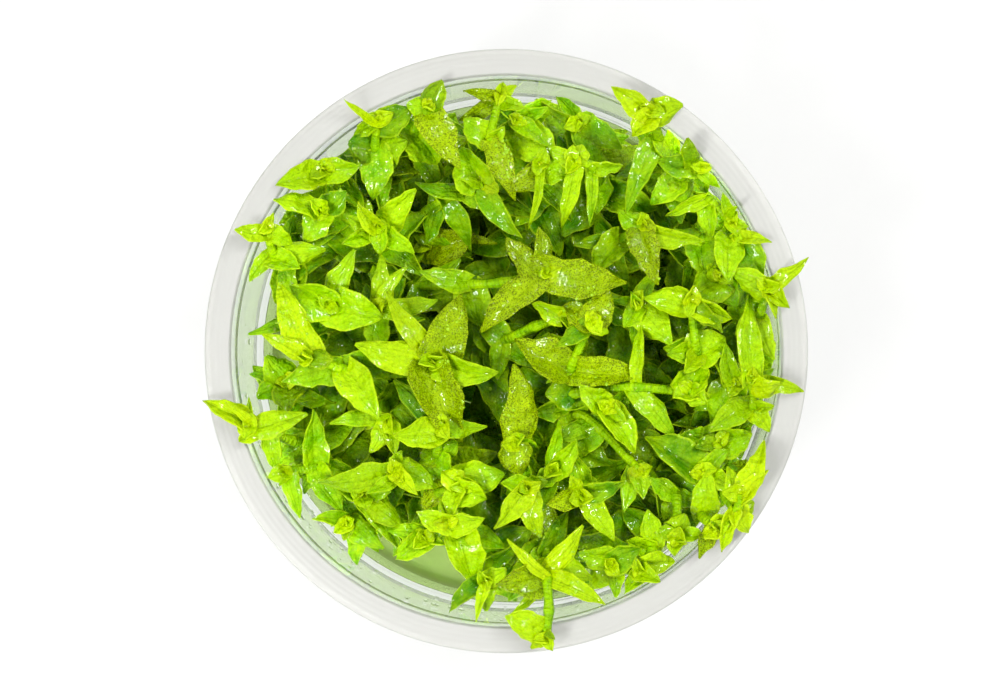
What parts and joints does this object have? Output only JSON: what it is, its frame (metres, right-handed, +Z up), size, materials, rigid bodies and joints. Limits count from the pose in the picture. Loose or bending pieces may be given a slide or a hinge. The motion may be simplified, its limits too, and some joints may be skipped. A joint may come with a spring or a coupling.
{
  "type": "tissue culture plant cup",
  "caption": "Clear round cup with a flat rim, holding a bed of nutrient gel and a dense tuft of small pointed-leaf aquarium plantlets.",
  "frame": {"origin": "centre of the cup's flat base", "axes": "+Z up out of the cup's mouth; +X to the right and +Y to the top of the picture, which looks straight down"},
  "size_m": [0.1, 0.1, 0.0554],
  "materials": {
    "cup_plastic": "clear moulded polypropylene, satin on the rim",
    "gel": "wet translucent agar gel",
    "leaf": "thin lime green leaf and stem, moist and faintly glossy"
  },
  "bodies": {
    "root": {"cup": "cup_plastic", "nutrient_gel": "gel", "shoot_01": "leaf", "shoot_02": "leaf", "shoot_03": "leaf", "shoot_04": "leaf", "shoot_05": "leaf", "shoot_06": "leaf", "shoot_07": "leaf", "shoot_08": "leaf", "shoot_09": "leaf", "shoot_10": "leaf", "shoot_11": "leaf", "shoot_12": "leaf", "shoot_13": "leaf", "shoot_14": "leaf", "shoot_15": "leaf", "shoot_16": "leaf", "shoot_17": "leaf", "shoot_18": "leaf", "shoot_19": "leaf", "shoot_20": "leaf", "shoot_21": "leaf", "shoot_22": "leaf", "shoot_23": "leaf", "shoot_24": "leaf", "shoot_25": "leaf", "shoot_26": "leaf", "shoot_27": "leaf", "shoot_28": "leaf", "shoot_29": "leaf", "shoot_30": "leaf", "shoot_31": "leaf", "shoot_32": "leaf", "shoot_33": "leaf", "shoot_34": "leaf", "shoot_35": "leaf", "shoot_36": "leaf", "shoot_37": "leaf", "shoot_38": "leaf", "shoot_39": "leaf", "shoot_40": "leaf", "shoot_41": "leaf", "shoot_42": "leaf", "shoot_43": "leaf", "shoot_44": "leaf", "shoot_45": "leaf", "shoot_46": "leaf", "shoot_47": "leaf", "shoot_48": "leaf", "shoot_49": "leaf", "shoot_50": "leaf", "shoot_51": "leaf", "shoot_52": "leaf", "shoot_53": "leaf", "shoot_54": "leaf", "shoot_55": "leaf", "shoot_56": "leaf", "shoot_57": "leaf", "shoot_58": "leaf"}
  },
  "joints": []
}
